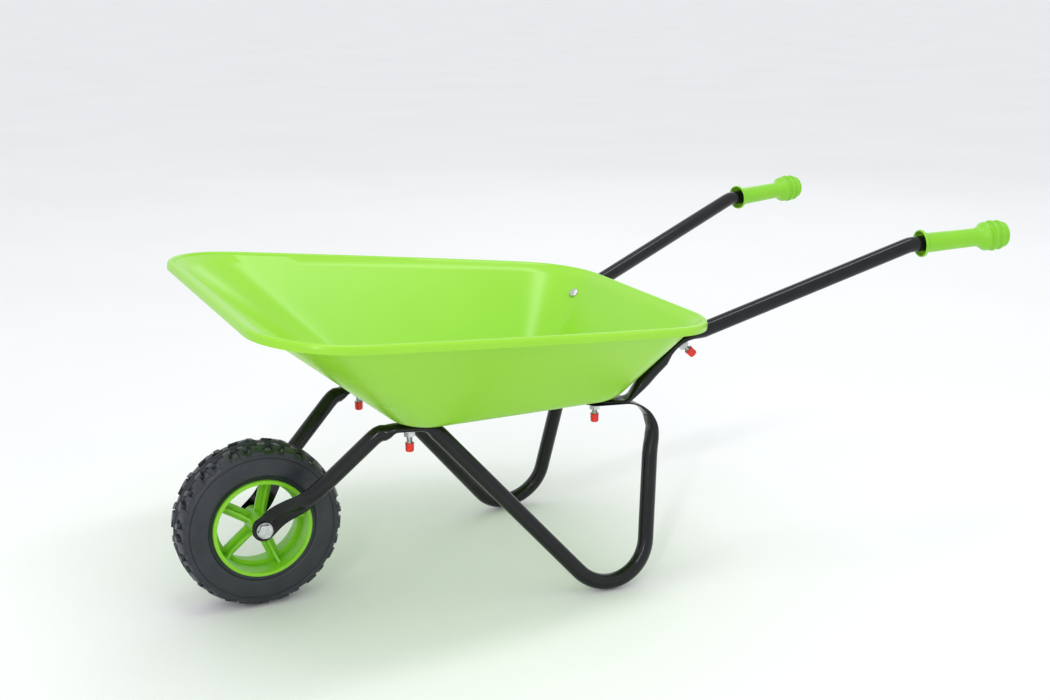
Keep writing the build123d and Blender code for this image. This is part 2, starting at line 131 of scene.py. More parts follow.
# %% [markdown]
# Light comes from a long soft panel overhead, a narrow one high on the camera's side and
# a weak one behind. The panels are what the enamel reflects, so their width sets how wide
# the bright lines along the tubes are. A pale surround fills the shadows.

# %% Light
def panel(name, place, target, width, height, power):
    """A soft rectangular lamp that faces target."""
    lamp = bpy.data.lights.new(name, "AREA")
    lamp.shape = "RECTANGLE"
    lamp.size, lamp.size_y = width, height
    lamp.energy = power
    item = bpy.data.objects.new(name, lamp)
    item.location = place
    aim = Vector(target) - Vector(place)
    item.rotation_euler = aim.to_track_quat("-Z", "Y").to_euler()
    bpy.context.scene.collection.objects.link(item)
    return item


BARROW = (0.0, 0.0, 0.2)
panel("panel_overhead", (0.1, -0.3, 2.3), BARROW, 1.6, 0.35, 11)
panel("panel_front", (-1.6, -2.1, 1.5), BARROW, 0.11, 1.8, 14)
panel("panel_back", (1.6, 1.9, 1.4), BARROW, 1.2, 0.5, 3)
world = bpy.data.worlds.new("surround")
bpy.context.scene.world = world
world.use_nodes = True
surround = world.node_tree.nodes["Background"]
surround.inputs["Color"].default_value = (0.95, 0.97, 1.0, 1)
surround.inputs["Strength"].default_value = 0.92
bpy.context.scene.view_settings.view_transform = "Standard"
print("lamps:", len(bpy.data.lights))

# %% [markdown]
# ## Finishes
#
# Each finish is a small tree of nodes. All of them read Object coordinates, which are
# metres here, so a noise with a scale of 500 has grains about 2 mm across. Colour,
# roughness and bump each get their own noise, because a real surface never varies in all
# three together.

# %% Material helpers
def finish(name, colour, roughness, metallic=0.0):
    """A new material with its principal shader set to plain values."""
    material = bpy.data.materials.new(name)
    material.use_nodes = True
    shader = material.node_tree.nodes["Principled BSDF"]
    shader.inputs["Base Color"].default_value = (*colour, 1)
    shader.inputs["Roughness"].default_value = roughness
    shader.inputs["Metallic"].default_value = metallic
    return material


def grain(material, scale, detail=3.0, stretch=(1, 1, 1)):
    """A noise texture in the piece's own Object coordinates."""
    tree = material.node_tree
    place = tree.nodes.new("ShaderNodeTexCoord")
    mapping = tree.nodes.new("ShaderNodeMapping")
    mapping.inputs["Scale"].default_value = stretch
    texture = tree.nodes.new("ShaderNodeTexNoise")
    texture.inputs["Scale"].default_value = scale
    texture.inputs["Detail"].default_value = detail
    tree.links.new(place.outputs["Object"], mapping.inputs["Vector"])
    tree.links.new(mapping.outputs["Vector"], texture.inputs["Vector"])
    return texture.outputs["Fac"]


def vary_roughness(material, source, low, high):
    """Roughness runs from low to high as the source runs over its middle range."""
    tree = material.node_tree
    spread = tree.nodes.new("ShaderNodeMapRange")
    spread.inputs["From Min"].default_value = 0.3
    spread.inputs["From Max"].default_value = 0.7
    spread.inputs["To Min"].default_value = low
    spread.inputs["To Max"].default_value = high
    tree.links.new(source, spread.inputs["Value"])
    shader = tree.nodes["Principled BSDF"]
    tree.links.new(spread.outputs["Result"], shader.inputs["Roughness"])


def vary_colour(material, source, first, second, low=0.35, high=0.65):
    """Colour runs from first to second as the source runs from low to high."""
    tree = material.node_tree
    ramp = tree.nodes.new("ShaderNodeValToRGB")
    ramp.color_ramp.elements[0].position = low
    ramp.color_ramp.elements[1].position = high
    ramp.color_ramp.elements[0].color = (*first, 1)
    ramp.color_ramp.elements[1].color = (*second, 1)
    tree.links.new(source, ramp.inputs["Fac"])
    shader = tree.nodes["Principled BSDF"]
    tree.links.new(ramp.outputs["Color"], shader.inputs["Base Color"])


def bump(material, source, depth, before=None):
    """Raises the surface by depth metres where the source is bright."""
    tree = material.node_tree
    relief = tree.nodes.new("ShaderNodeBump")
    relief.inputs["Strength"].default_value = 1.0
    relief.inputs["Distance"].default_value = depth
    tree.links.new(source, relief.inputs["Height"])
    if before is not None:
        tree.links.new(before.outputs["Normal"], relief.inputs["Normal"])
    shader = tree.nodes["Principled BSDF"]
    tree.links.new(relief.outputs["Normal"], shader.inputs["Normal"])
    return relief

# %% [markdown]
# Sprayed and baked enamel is smooth but never a mirror. It has orange peel, a shallow
# waviness a few millimetres across, and the gloss changes a little where the coat is
# thinner. The tray and the tubes share the method and differ in colour and gloss.

# %% Green enamel of the tray
green_enamel = finish("green_enamel", (0.315, 0.69, 0.030), 0.3)
vary_colour(green_enamel, grain(green_enamel, 7, 2), (0.305, 0.68, 0.026), (0.325, 0.70, 0.034))
vary_roughness(green_enamel, grain(green_enamel, 9, 1), 0.27, 0.30)
bump(green_enamel, grain(green_enamel, 330, 1), 0.00001)

# %% Black enamel of the tubes
black_enamel = finish("black_enamel", (0.004, 0.0045, 0.006), 0.16)
vary_colour(black_enamel, grain(black_enamel, 60, 3),
            (0.003, 0.0035, 0.0045), (0.006, 0.0065, 0.008))
vary_roughness(black_enamel, grain(black_enamel, 90, 4), 0.11, 0.20)
bump(black_enamel, grain(black_enamel, 420, 1), 0.000015)
black_enamel.node_tree.nodes["Principled BSDF"].inputs["Specular IOR Level"].default_value = 0.36

# %% [markdown]
# Moulded plastic takes the finish of its mould. The wheel and the grips have a fine
# matt texture over a slight sheen, and the tyre, blown from black plastic, is duller. Its
# black has a little blue painted in all over: a painted sheen for the blue it shows where it faces
# the light.

# %% Moulded plastics
green_plastic = finish("green_plastic", (0.23, 0.60, 0.014), 0.4)
vary_colour(green_plastic, grain(green_plastic, 30, 3), (0.22, 0.59, 0.012), (0.24, 0.615, 0.018))
vary_roughness(green_plastic, grain(green_plastic, 150, 3), 0.32, 0.44)
bump(green_plastic, grain(green_plastic, 1300, 2), 0.00003)
green_plastic.node_tree.nodes["Principled BSDF"].inputs["Subsurface Weight"].default_value = 0.05
green_plastic.node_tree.nodes["Principled BSDF"].inputs["Subsurface Scale"].default_value = 0.002

# The blue in the tyre's colours is painted sheen: the blue it shows where it faces the light, put
# on all over.
tyre_plastic = finish("tyre_plastic", (0.014, 0.016, 0.022), 0.4)
vary_colour(tyre_plastic, grain(tyre_plastic, 45, 4), (0.017, 0.020, 0.027), (0.025, 0.029, 0.038))
vary_roughness(tyre_plastic, grain(tyre_plastic, 120, 4), 0.32, 0.46)
peel = bump(tyre_plastic, grain(tyre_plastic, 1100, 3), 0.00004)
bump(tyre_plastic, grain(tyre_plastic, 70, 2), 0.00015, peel)

black_plastic = finish("black_plastic", (0.013, 0.013, 0.014), 0.5)
vary_roughness(black_plastic, grain(black_plastic, 200, 3), 0.42, 0.6)
bump(black_plastic, grain(black_plastic, 1200, 2), 0.00003)

red_vinyl = finish("red_vinyl", (0.80, 0.024, 0.012), 0.26)
vary_colour(red_vinyl, grain(red_vinyl, 250, 3), (0.72, 0.018, 0.010), (0.86, 0.034, 0.016))
vary_roughness(red_vinyl, grain(red_vinyl, 300, 3), 0.2, 0.36)
bump(red_vinyl, grain(red_vinyl, 500, 2), 0.00006)

# %% Zinc plate
zinc = finish("zinc", (0.62, 0.64, 0.66), 0.3, metallic=1.0)
vary_colour(zinc, grain(zinc, 350, 4), (0.54, 0.55, 0.56), (0.72, 0.73, 0.75))
vary_roughness(zinc, grain(zinc, 500, 4), 0.22, 0.42)
bump(zinc, grain(zinc, 1500, 3), 0.00003)

# %% Floor paper
paper = finish("paper", (0.90, 0.90, 0.89), 0.9)
vary_colour(paper, grain(paper, 2, 3), (0.90, 0.90, 0.895), (0.92, 0.92, 0.915))
bump(paper, grain(paper, 400, 3), 0.0002)
floor.data.materials.append(paper)

# %% Finishes on the frame's own parts
def coat(node, material):
    """Gives a part of the frame one finish all over."""
    node.data.materials.clear()
    node.data.materials.append(material)


for name, node in nodes.items():
    if name == "tray":
        coat(node, green_enamel)
    elif name.startswith(("leg_frame", "handle_tube")):
        coat(node, black_enamel)
    elif name.startswith(("grip", "wheel_rim")):
        coat(node, green_plastic)
    elif name.startswith("cap_"):
        coat(node, red_vinyl)
    elif name == "tyre":
        coat(node, tyre_plastic)
    elif name.startswith(("hub_bush", "axle_spacer")):
        coat(node, black_plastic)
    else:
        coat(node, zinc)
print("finishes:", len(bpy.data.materials), "on", len(nodes), "parts")

# %% [markdown]
# ## The tyre
#
# The tyre is one hollow moulding with a satin side wall and a chunky tread. It could be
# carved from a solid ring, but a maker would think of it as a turned body with blocks
# set on it. So the body is turned first: a circle of edges is extruded from station to
# station along the axle, and each new loop is scaled to its radius. Then two kinds of
# block are made once, copied round both halves and joined to the body.

# %% Turning
AXLE_WAY = Vector((0, 1, 0))
SMOOTH_ANGLE = radians(32)


def settle(piece, place, way):
    """Puts a piece drawn about the origin's Z on its own axis, and leaves its object
    at the origin."""
    choose(piece)
    piece.location = place
    piece.rotation_mode = "QUATERNION"
    piece.rotation_quaternion = Vector(way).to_track_quat("Z", "X")
    bpy.ops.object.transform_apply(location=True, rotation=True, scale=True)
    return piece


def turned(name, stations, segments, sharp=SMOOTH_ANGLE):
    """A closed ring turned about Z. Stations are (distance along, radius) in mm."""
    along, radius = stations[0]
    deselect()
    bpy.ops.mesh.primitive_circle_add(
        vertices=segments, radius=radius * MM, location=(0, 0, along * MM))
    piece = added(name)
    bpy.ops.object.transform_apply(location=True)
    bpy.ops.object.mode_set(mode="EDIT")
    bpy.ops.mesh.select_all(action="SELECT")
    for next_along, next_radius in stations[1:]:
        bpy.ops.mesh.extrude_region_move(
            TRANSFORM_OT_translate={"value": (0, 0, (next_along - along) * MM)})
        scale = next_radius / radius
        bpy.ops.transform.resize(
            value=(scale, scale, 1), center_override=(0, 0, next_along * MM))
        along, radius = next_along, next_radius
    bpy.ops.mesh.select_all(action="SELECT")
    bpy.ops.mesh.remove_doubles(threshold=0.002 * MM)
    bpy.ops.mesh.normals_make_consistent(inside=False)
    bpy.ops.object.mode_set(mode="OBJECT")
    bpy.ops.object.shade_smooth_by_angle(angle=sharp)
    return piece


def both_halves(half):
    """A closed section from one half of it, which runs from the middle outwards."""
    return half + [(-along, radius) for along, radius in reversed(half[:-1])]

# %% Body of the tyre
TREAD_FLOOR = 78.6
half_tyre = [
    (0.0, 48.5), (18.0, 48.5), (20.0, 48.7), (20.2, 52.4), (20.8, 53.3), (21.8, 53.7),
    (22.5, 54.3), (22.8, 55.2), (22.9, 58.0), (22.95, 63.0), (22.8, 68.0), (22.5, 71.0),
    (22.2, 71.5), (21.7, 71.7), (21.7, 72.2), (22.3, 72.4), (22.6, 72.8), (22.6, 73.4),
    (21.9, 75.4), (20.6, 77.2), (19.0, 78.2), (16.0, TREAD_FLOOR), (4.6, TREAD_FLOOR),
    (4.0, 80.6), (3.4, 81.0), (1.1, 81.3), (0.7, 82.7), (0.0, 82.9),
]
TYRE_SEGMENTS = 180
section = both_halves(half_tyre)
section.append(half_tyre[0])
tyre_body = turned("tyre_blown", section, TYRE_SEGMENTS)
print("tyre body:", len(tyre_body.data.polygons), "faces")

# %% [markdown]
# A block is a cube that has been drawn in at the top, so that it would leave its mould,
# and lowered at its outer end, where the tread rounds the shoulder. Its edges are
# bevelled, because a sharp edge catches no light.

# %% One tread block
BLOCK_ROOT = 77.4


def block(name, inner, outer, spread, skew, top, shoulder_drop):
    """A tread block on top of the tyre: inner and outer are across the tread, spread is
    its length round the tyre and skew shifts its outer end."""
    deselect()
    bpy.ops.mesh.primitive_cube_add(size=1)
    piece = added(name)
    piece.scale = (spread * MM, (outer - inner) * MM, (top - BLOCK_ROOT) * MM)
    piece.location = (0, (inner + outer) / 2 * MM, (BLOCK_ROOT + top) / 2 * MM)
    bpy.ops.object.transform_apply(location=True, scale=True)
    bpy.ops.object.mode_set(mode="EDIT")
    mesh = bmesh.from_edit_mesh(piece.data)
    middle = (BLOCK_ROOT + top) / 2 * MM
    for vertex in mesh.verts:
        vertex.select_set(vertex.co.z > middle)
    mesh.select_flush_mode()
    bmesh.update_edit_mesh(piece.data)
    bpy.ops.transform.resize(value=(0.84, 0.93, 1), center_override=(
        0, (inner + outer) / 2 * MM, top * MM))
    mesh = bmesh.from_edit_mesh(piece.data)
    across = (inner + outer) / 2 * MM
    for vertex in mesh.verts:
        vertex.select_set(vertex.co.y > across)
    mesh.select_flush_mode()
    bmesh.update_edit_mesh(piece.data)
    bpy.ops.transform.translate(value=(skew * MM, 0, -shoulder_drop * MM))
    bpy.ops.mesh.select_all(action="SELECT")
    bpy.ops.mesh.bevel(offset=0.45 * MM, segments=2, affect="EDGES")
    bpy.ops.mesh.select_all(action="SELECT")
    bpy.ops.mesh.normals_make_consistent(inside=False)
    bpy.ops.object.mode_set(mode="OBJECT")
    bpy.ops.object.shade_smooth_by_angle(angle=SMOOTH_ANGLE)
    return piece


wide_outer = block("block_wide_outer", 11.5, 22.0, 13.5, 1.5, 82.3, 3.6)
wide_inner = block("block_wide_inner", 3.6, 12.6, 9.0, 2.0, 82.6, 0.3)
narrow_outer = block("block_narrow_outer", 13.0, 21.8, 6.0, -1.0, 81.9, 3.4)
narrow_inner = block("block_narrow_inner", 4.2, 14.0, 6.5, -3.0, 82.5, 0.2)
BLOCK_TURNS = (
    (wide_outer, 0.0), (wide_inner, -4.2), (narrow_outer, 12.4), (narrow_inner, 11.2),
)

# %% The blocks round both halves
REPEATS = 15
REPEAT = 2 * pi / REPEATS
tread = []
for shape, start in BLOCK_TURNS:
    for half in (0, 1):
        for index in range(REPEATS):
            choose(shape)
            bpy.ops.object.duplicate(linked=False)
            copy = bpy.context.object
            turn = radians(start) + (index + half / 2) * REPEAT
            across = Matrix.Rotation(pi * half, 4, "Z")
            copy.matrix_world = Matrix.Rotation(turn, 4, "Y") @ across
            tread.append(copy)
    bpy.data.objects.remove(shape)
choose(tyre_body)
settle(tyre_body, (0, 0, 0), AXLE_WAY)
choose(tyre_body, *tread)
bpy.ops.object.join()
settle(tyre_body, AXLE, (0, 0, 1))
tyre_body.data.materials.clear()
tyre_body.data.materials.append(tyre_plastic)
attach(tyre_body, "wheel")
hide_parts("tyre")
print("tyre with", len(tread), "blocks:", len(tyre_body.data.polygons), "faces")

# %% [markdown]
# ## The grips
#
# Each grip is a soft plastic sleeve pushed on to the tube. A hollow cup at its mouth
# keeps the hand from sliding forward, the barrel tapers a little, and three rings and a
# domed end stop it behind. It is round all over, so it is turned like the tyre, with
# small radii at every change of direction.

# %% Grips
grip_stations = [
    (88.0, 8.1), (9.0, 8.1), (7.6, 8.6), (6.4, 10.8), (3.2, 12.2), (0.6, 12.7),
    (0.1, 13.1), (0.0, 13.6), (0.5, 14.0), (1.6, 14.2), (2.8, 14.1), (3.4, 13.6),
    (4.6, 12.3), (5.8, 11.0), (7.4, 10.35), (10.0, 10.2), (36.0, 9.75), (60.0, 9.5),
    (64.0, 9.6), (67.5, 10.3), (70.5, 12.0), (73.0, 14.0), (74.4, 14.8), (75.8, 15.0),
    (77.0, 14.6), (77.6, 13.6), (78.3, 13.1), (80.2, 13.1), (80.9, 13.5), (81.4, 15.0),
    (82.2, 15.8), (83.2, 16.0), (84.4, 15.8), (85.2, 15.0), (85.8, 13.6), (86.4, 13.3),
    (88.2, 13.3), (88.8, 13.6), (89.3, 14.7), (90.0, 15.3), (91.0, 15.45), (92.2, 15.2),
    (93.0, 14.4), (93.5, 13.2), (94.2, 12.9), (95.6, 12.9), (96.2, 13.2), (97.2, 13.3),
    (98.2, 12.8), (99.2, 11.4), (99.8, 9.0), (99.95, 6.0), (100.0, 2.0), (100.0, 0.02),
]
GRIP_BEND = Vector((650.1, 168.9, 337.6))
GRIP_FLANGE = AXLE - Vector((0, 0, AXLE.z)) + GRIP_BEND * MM
GRIP_WAY = Vector((0.987, 0.1545, 0.0523)).normalized()
MOUTH = 12 * MM
GRIP_LENGTH = 100
GRIP_SEGMENTS = 72
for side, hand in (("left", -1), ("right", 1)):
    way = Vector((GRIP_WAY.x, hand * GRIP_WAY.y, GRIP_WAY.z))
    place = Vector((GRIP_FLANGE.x, hand * GRIP_FLANGE.y, GRIP_FLANGE.z)) + way * MOUTH
    grip = turned(f"grip_moulded_{side}", grip_stations, GRIP_SEGMENTS, radians(50))
    choose(grip)
    bpy.ops.object.mode_set(mode="EDIT")
    bpy.ops.mesh.select_all(action="SELECT")
    bpy.ops.mesh.remove_doubles(threshold=0.03 * MM)
    bpy.ops.mesh.select_all(action="DESELECT")
    bpy.ops.mesh.select_non_manifold()
    bpy.ops.mesh.edge_face_add()
    bpy.ops.mesh.select_all(action="SELECT")
    bpy.ops.mesh.normals_make_consistent(inside=False)
    bpy.ops.object.mode_set(mode="OBJECT")
    settle(grip, place, way)
    grip.data.materials.append(green_plastic)
    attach(grip, "chassis")
    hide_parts(f"grip_{side}")
print("grips reach", round((place + way * GRIP_LENGTH * MM).x / MM), "mm behind the middle")

# %% [markdown]
# ## Nuts, bolts and caps
#
# Six small bolts hold the tray to the frame. Each has a domed head inside the tray, a
# plain nut below, a few turns of bare thread and a dipped vinyl cap that keeps small
# hands off the end. One of each is made about the Z axis and then copied to every place.
# A hexagon gets its shine from the corners that are turned off it, so it is cut with a
# turned body that has a shallow cone at each end.

# %% Filling and cutting
def filled(piece):
    """Closes the open ends of a turned piece."""
    choose(piece)
    bpy.ops.object.mode_set(mode="EDIT")
    bpy.ops.mesh.select_all(action="SELECT")
    bpy.ops.mesh.fill_holes(sides=0)
    bpy.ops.mesh.normals_make_consistent(inside=False)
    bpy.ops.object.mode_set(mode="OBJECT")
    bpy.ops.object.shade_smooth_by_angle(angle=SMOOTH_ANGLE)
    return piece


def cut(piece, tool, operation):
    """Applies a boolean of piece with tool, and removes the tool."""
    modifier = piece.modifiers.new("cut", "BOOLEAN")
    modifier.operation = operation
    modifier.object = tool
    modifier.solver = "EXACT"
    choose(piece)
    bpy.ops.object.modifier_apply(modifier=modifier.name)
    bpy.data.objects.remove(tool)
    return piece


FACE_SHARE, CONE_SLOPE = 0.475, 0.55


def hexagon(name, flats, height, bore=None):
    """A hexagon on Z from 0 to height, with its corners turned off at both ends."""
    corner = flats / 3 ** 0.5
    deselect()
    bpy.ops.mesh.primitive_cylinder_add(
        vertices=6, radius=corner * MM, depth=height * MM, location=(0, 0, height / 2 * MM))
    piece = added(name)
    bpy.ops.object.transform_apply(location=True)
    face = FACE_SHARE * flats
    cone = (corner - face) * CONE_SLOPE
    turning = filled(turned(name + "_turning", [
        (0, 0.1), (0, face), (cone, corner + 0.05), (height - cone, corner + 0.05),
        (height, face), (height, 0.1)], 48))
    cut(piece, turning, "INTERSECT")
    if bore:
        drill = filled(turned(name + "_drill", [
            (-1, 0.1), (-1, bore), (height + 1, bore), (height + 1, 0.1)], 32))
        cut(piece, drill, "DIFFERENCE")
    choose(piece)
    bpy.ops.object.shade_smooth_by_angle(angle=radians(25))
    return piece


def centre(node):
    """The middle of a CAD node's box."""
    low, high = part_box(node)
    return (low + high) / 2


def placed_copy(model, name, place, way, material, body, node):
    """A copy of a model with its own mesh, on its own axis, standing for a CAD node."""
    choose(model)
    bpy.ops.object.duplicate(linked=False)
    copy = added(name)
    settle(copy, place, way)
    copy.data.materials.clear()
    copy.data.materials.append(material)
    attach(copy, body)
    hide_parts(node)
    return copy

# %% One nut, one cap
NUT, NUT_FLATS, NUT_BORE = 5.0, 10, 2.95
nut_model = hexagon("nut_model", NUT_FLATS, NUT, bore=NUT_BORE)
cap_model = filled(turned("cap_model", [
    (6.8, 0.05), (6.8, 3.05), (0.1, 3.05), (0.0, 3.3), (0.0, 4.1), (0.25, 4.4),
    (0.9, 4.4), (1.3, 4.28), (7.4, 4.18), (8.2, 4.0), (8.8, 3.5), (9.1, 2.6),
    (9.2, 1.2), (9.2, 0.05)], 40, radians(50)))
print("nut model:", len(nut_model.data.polygons), "faces")

# %% Bolts with a thread on the stretch that shows
CLAMPED = {"floor_front": (7.0, 6.4), "floor_rear": (4.4, 4.4), "wall_rear": (7.0, 4.4)}
SHEET, WASHER = 1.2, 1.2
PITCH = 1.0
IN_CAP = 6.6
CREST_OF_THREAD, ROOT_OF_THREAD = 2.98, 2.45
models = [nut_model, cap_model]
for position, (clamped, bare) in CLAMPED.items():
    nut_end = SHEET + clamped + WASHER + NUT
    profile = [(-3.4, 0.05), (-3.38, 1.6), (-3.15, 3.1), (-2.6, 4.5), (-1.8, 5.4),
               (-0.9, 5.85), (-0.2, 6.0), (0.0, 5.9), (0.0, 3.0), (nut_end - 1.5, 2.98)]
    along = nut_end - 1.0
    while along < nut_end + bare + 0.5:
        profile += [(along, ROOT_OF_THREAD), (along + PITCH / 2, CREST_OF_THREAD)]
        along += PITCH
    tip = nut_end + bare + IN_CAP
    profile += [(tip, 2.8), (tip, 0.05)]
    bolt_model = filled(turned(f"bolt_model_{position}", profile, 36, radians(28)))
    models.append(bolt_model)
    for side in ("left", "right"):
        spot = f"{position}_{side}"
        nut_centre = centre(f"nut_{spot}")
        way = (centre(f"cap_{spot}") - nut_centre).normalized()
        nut_seat = nut_centre - way * NUT / 2 * MM
        head_seat = nut_seat - way * (nut_end - NUT) * MM
        placed_copy(bolt_model, f"bolt_domed_{spot}", head_seat, way, zinc, "chassis",
                    f"bolt_{spot}")
        placed_copy(nut_model, f"nut_hex_{spot}", nut_seat, way, zinc, "chassis",
                    f"nut_{spot}")
        placed_copy(cap_model, f"cap_dipped_{spot}", nut_seat + way * (NUT + bare) * MM,
                    way, red_vinyl, "chassis", f"cap_{spot}")
print("bolts, nuts and caps:", 3 * 2 * len(CLAMPED))

# %% Axle bolt and nut
AXLE_HEAD, AXLE_NUT = 5.3, 6.5
AXLE_FLATS, AXLE_RADIUS = 13, 4.0
HEAD_FACE = 28.2
SHANK_PAST_NUT = 4.0
axle_bolt = hexagon("axle_bolt_hex", AXLE_FLATS, AXLE_HEAD)
shank_end = 2 * HEAD_FACE + AXLE_HEAD + AXLE_NUT + SHANK_PAST_NUT
shank = filled(turned("axle_shank", [
    (0.2, 0.05), (0.2, AXLE_RADIUS), (shank_end - 0.6, AXLE_RADIUS),
    (shank_end, AXLE_RADIUS - 0.6), (shank_end, 0.05)], 48))
choose(axle_bolt, shank)
bpy.ops.object.join()
head_outer = Vector((AXLE.x, -(HEAD_FACE + AXLE_HEAD) * MM, AXLE.z))
settle(axle_bolt, head_outer, AXLE_WAY)
axle_nut_model = hexagon("axle_nut_model", AXLE_FLATS, AXLE_NUT, bore=AXLE_RADIUS - 0.05)
models.append(axle_nut_model)
placed_copy(axle_nut_model, "axle_nut_hex", (AXLE.x, HEAD_FACE * MM, AXLE.z), AXLE_WAY,
            zinc, "chassis", "axle_nut")
axle_bolt.data.materials.clear()
axle_bolt.data.materials.append(zinc)
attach(axle_bolt, "chassis")
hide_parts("axle_bolt")
for model in models:
    bpy.data.objects.remove(model)
print("fasteners placed:", 3 * 2 * len(CLAMPED) + 2)

# %% [markdown]
# ## The tray
#
# The tray is one steel blank drawn in a press: a flat floor, a soft bend all round it,
# plain sloping walls and an edge that is rolled outwards and down. A box could be bevelled
# into something like it, but the floor and the edge have different corners and are not
# parallel, and the eye follows every line of such a simple shape. So the sheet is skinned:
# rings of points are laid out from the middle of the floor to the end of the rolled edge,
# and faces join them. A Solidify modifier then gives the sheet its thickness.

# %% Skinning
def skin(name, rings, caps=True):
    """A mesh from rings of points in mm behind the axle, joined ring to ring."""
    mesh = bmesh.new()
    rows = [[mesh.verts.new((Vector(p) + ORIGIN) * MM) for p in ring] for ring in rings]
    count = len(rings[0])
    for row, next_row in zip(rows, rows[1:]):
        for index in range(count):
            after = (index + 1) % count
            mesh.faces.new((row[index], row[after], next_row[after], next_row[index]))
    if caps:
        mesh.faces.new(rows[0])
        mesh.faces.new(rows[-1])
    data = bpy.data.meshes.new(name)
    mesh.to_mesh(data)
    mesh.free()
    piece = bpy.data.objects.new(name, data)
    bpy.context.scene.collection.objects.link(piece)
    return piece


# Stations are measured in mm behind the axle and above the floor.
ORIGIN = Vector((AXLE.x / MM, 0, 0))
print("stations start at x", round(ORIGIN.x), "mm")

# %% Outlines of the floor and the rim
def corner_arc(corner, before, after, radius, steps):
    """Points of a fillet at corner, between the lines to before and after."""
    first = (before - corner).normalized()
    second = (after - corner).normalized()
    half = acos(first.dot(second)) / 2
    reach = radius / tan(half)
    middle = corner + (first + second).normalized() * radius / sin(half)
    start, end = corner + first * reach - middle, corner + second * reach - middle
    sweep = start.angle_signed(end)
    points = []
    for step in range(steps + 1):
        turned_by = sweep * step / steps
        c, s = cos(-turned_by), sin(-turned_by)
        points.append(middle + Vector((start.x * c - start.y * s, start.x * s + start.y * c)))
    return points


def spaced(start, end, steps):
    """Points between start and end, without the end."""
    return [start.lerp(end, step / steps) for step in range(steps)]


ARC_STEPS, SIDE_STEPS, END_STEPS = 14, 26, 8


def tray_outline(length, front_half, rear_half, corner, bow):
    """Closed outline in its own plane: x from the front edge, y outwards."""
    def side(share):
        wide = front_half + (rear_half - front_half) * share + 4 * bow * share * (1 - share)
        return Vector((length * share, -wide))
    front_arc = corner_arc(side(0), Vector((0, 0)), side(0.25), corner, ARC_STEPS)
    rear_arc = corner_arc(side(1), side(0.75), Vector((length, 0)), corner, ARC_STEPS)
    first, last = front_arc[-1].x / length, rear_arc[0].x / length
    half = spaced(Vector((0, 0)), front_arc[0], END_STEPS) + front_arc
    for step in range(1, SIDE_STEPS):
        half.append(side(first + (last - first) * step / SIDE_STEPS))
    half += rear_arc + spaced(Vector((length, 0)), rear_arc[-1], END_STEPS)[:0:-1]
    half.append(Vector((length, 0)))
    return half + [Vector((p.x, -p.y)) for p in reversed(half[1:-1])]


# %% Places of the floor and the rim
FLOOR_Z = 188.5
FLOOR_FRONT, FLOOR_REAR = 123.0, 358.0
FLOOR_HALVES, FLOOR_CORNER, FLOOR_BOW = (107.0, 101.5), 32.0, 1.0
CORNER_SHRINK = 0.9
RIM_FRONT, RIM_REAR = Vector((-35.4, 0, 318.9)), Vector((430.3, 0, 275.8))
RIM_HALVES, RIM_CORNER, RIM_BOW = (229.4, 164.3), 70.5, 6.4
RIM_INSET, FLOOR_INSET = 1.7, 0.5
rim_way = (RIM_REAR - RIM_FRONT).normalized()
rim_up = Vector((-rim_way.z, 0, rim_way.x))


def on_floor(inset, height):
    """The floor's outline, drawn in by inset, at a height."""
    front_half, rear_half = FLOOR_HALVES
    points = tray_outline(FLOOR_REAR - FLOOR_FRONT - 2 * inset, front_half - inset,
                          rear_half - inset, FLOOR_CORNER - inset * CORNER_SHRINK, FLOOR_BOW)
    return [Vector((FLOOR_FRONT + inset + p.x, p.y, height)) for p in points]


def on_rim(grow, height):
    """The rim's outline, grown outwards by grow, at a height over its sloping plane."""
    front_half, rear_half = RIM_HALVES
    points = tray_outline((RIM_REAR - RIM_FRONT).length + 2 * grow, front_half + grow,
                          rear_half + grow, RIM_CORNER + grow, RIM_BOW)
    return [RIM_FRONT + rim_way * (p.x - grow) + Vector((0, p.y, 0)) + rim_up * height
            for p in points]


print("rim:", round((RIM_REAR - RIM_FRONT).length, 1), "mm long")

# %% [markdown]
# The rings follow the sheet outwards. The floor needs few of them and the bend needs
# many. The wall is straight in section, so its rings only keep the faces from growing
# long. The last rings go over the top of the roll and down outside it.

# %% Rings of the floor and its bend
FLOOR_BEND = 14.0
FLAT_SHARES = (0.35, 0.7)
inside_floor = FLOOR_Z + SHEET
flat_edge = on_floor(FLOOR_INSET + FLOOR_BEND, inside_floor)
floor_edge = on_floor(FLOOR_INSET, inside_floor)
wall_top = on_rim(-RIM_INSET, 0.0)
floor_middle = Vector(((FLOOR_FRONT + FLOOR_REAR) / 2, 0, inside_floor))
rings = [[floor_middle.lerp(p, share) for p in flat_edge] for share in FLAT_SHARES]
rings.append(flat_edge)
BEND_STEPS = 9
wall_start = []
for low_point, high_point in zip(floor_edge, wall_top):
    slope = high_point - low_point
    wall_start.append(low_point + slope.normalized() * FLOOR_BEND)
for step in range(1, BEND_STEPS + 1):
    share = step / BEND_STEPS
    rings.append([a.lerp(b, share).lerp(b.lerp(c, share), share)
                  for a, b, c in zip(flat_edge, floor_edge, wall_start)])
print("floor and bend:", len(rings), "rings")

# %% Rings of the wall and the rolled edge
WALL_STEPS = 12
BELOW_RIM = 5.0
wall_end = [b + (a - b).normalized() * BELOW_RIM for a, b in zip(floor_edge, wall_top)]
for step in range(1, WALL_STEPS + 1):
    rings.append([a.lerp(b, step / WALL_STEPS) for a, b in zip(wall_start, wall_end)])
ROLL = [(-1.0, -2.5), (-0.2, -1.2), (0.7, -0.4), (1.8, -0.02), (2.9, -0.15), (3.9, -0.65),
        (4.8, -1.5), (5.4, -2.6), (5.7, -3.8), (5.78, -5.4), (5.78, -7.2), (5.7, -8.3)]
for out, height in ROLL:
    rings.append(on_rim(out, height))
print("whole section:", len(rings), "rings")

